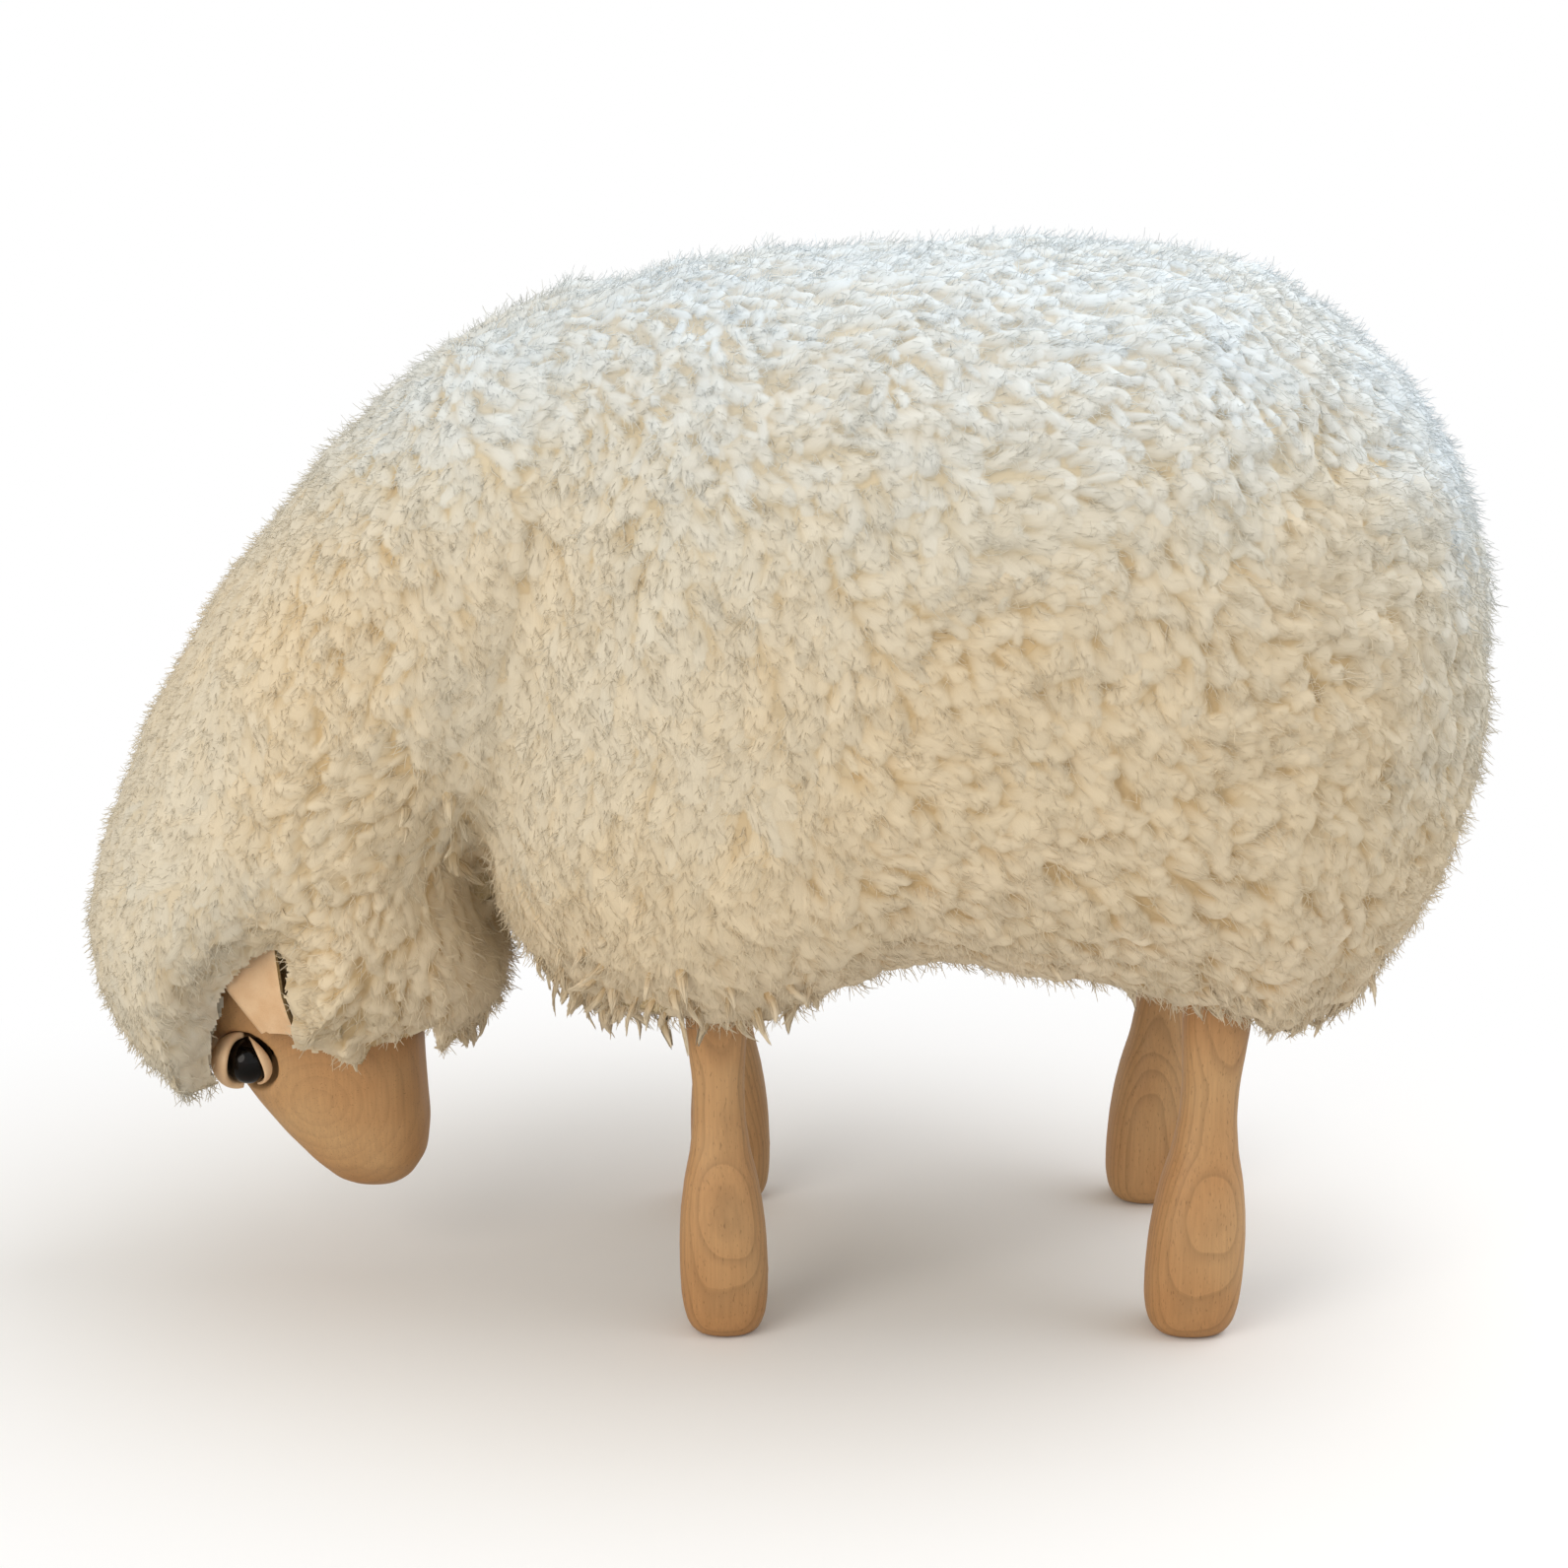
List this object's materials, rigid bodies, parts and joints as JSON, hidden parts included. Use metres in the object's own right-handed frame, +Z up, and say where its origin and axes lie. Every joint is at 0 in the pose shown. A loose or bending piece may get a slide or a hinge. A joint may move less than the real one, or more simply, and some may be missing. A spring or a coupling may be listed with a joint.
{
  "type": "animal footstool",
  "caption": "Footstool shaped as a grazing sheep: sheepskin body, neck and head over foam, carved beech face and club legs, glass eyes and folded leather ears.",
  "frame": {"origin": "on the floor under the middle of the stool's overall box", "axes": "+X from the head towards the rump, +Y towards the animal's right side, +Z up"},
  "size_m": [0.59, 0.33, 0.446],
  "materials": {
    "beech": "sanded bare beech with a wax finish",
    "plywood": "bare plywood",
    "leather": "undyed vegetable-tanned leather",
    "glass_black": "opaque black glass, polished",
    "wool": "natural curly sheepskin",
    "foam": "upholstery foam",
    "cloth": "woven calico",
    "steel": "zinc-plated steel"
  },
  "bodies": {
    "root": {"base_board": "plywood", "base_screw_front_left": "steel", "base_screw_front_right": "steel", "base_screw_rear_left": "steel", "base_screw_rear_right": "steel", "chest_foam": "foam", "dust_cover": "cloth", "ear_left": "leather", "ear_right": "leather", "ear_tack_left": "steel", "ear_tack_right": "steel", "eye_left": "glass_black", "eye_right": "glass_black", "flank_foam_left": "foam", "flank_foam_right": "foam", "fleece_body": "wool", "fleece_head": "wool", "fleece_neck": "wool", "front_eyelid_left": "leather", "front_eyelid_right": "leather", "head_block": "beech", "hip_board": "beech", "leg_bolt_front_left": "steel", "leg_bolt_front_right": "steel", "leg_bolt_rear_left": "steel", "leg_bolt_rear_right": "steel", "leg_front_left": "beech", "leg_front_right": "beech", "leg_rear_left": "beech", "leg_rear_right": "beech", "neck_arm": "beech", "neck_bolt_lower": "steel", "neck_bolt_upper": "steel", "neck_dowel_front": "beech", "neck_dowel_rear": "beech", "neck_foam": "foam", "rail_screw_front_left": "steel", "rail_screw_front_right": "steel", "rail_screw_rear_left": "steel", "rail_screw_rear_right": "steel", "rear_eyelid_left": "leather", "rear_eyelid_right": "leather", "rump_foam": "foam", "seat_board": "plywood", "seat_foam": "foam", "seat_screw_front_left": "steel", "seat_screw_front_right": "steel", "seat_screw_rear_left": "steel", "seat_screw_rear_right": "steel", "shoulder_board": "beech", "side_rail_left": "beech", "side_rail_right": "beech", "tee_nut_front_left": "steel", "tee_nut_front_right": "steel", "tee_nut_rear_left": "steel", "tee_nut_rear_right": "steel"}
  },
  "joints": []
}
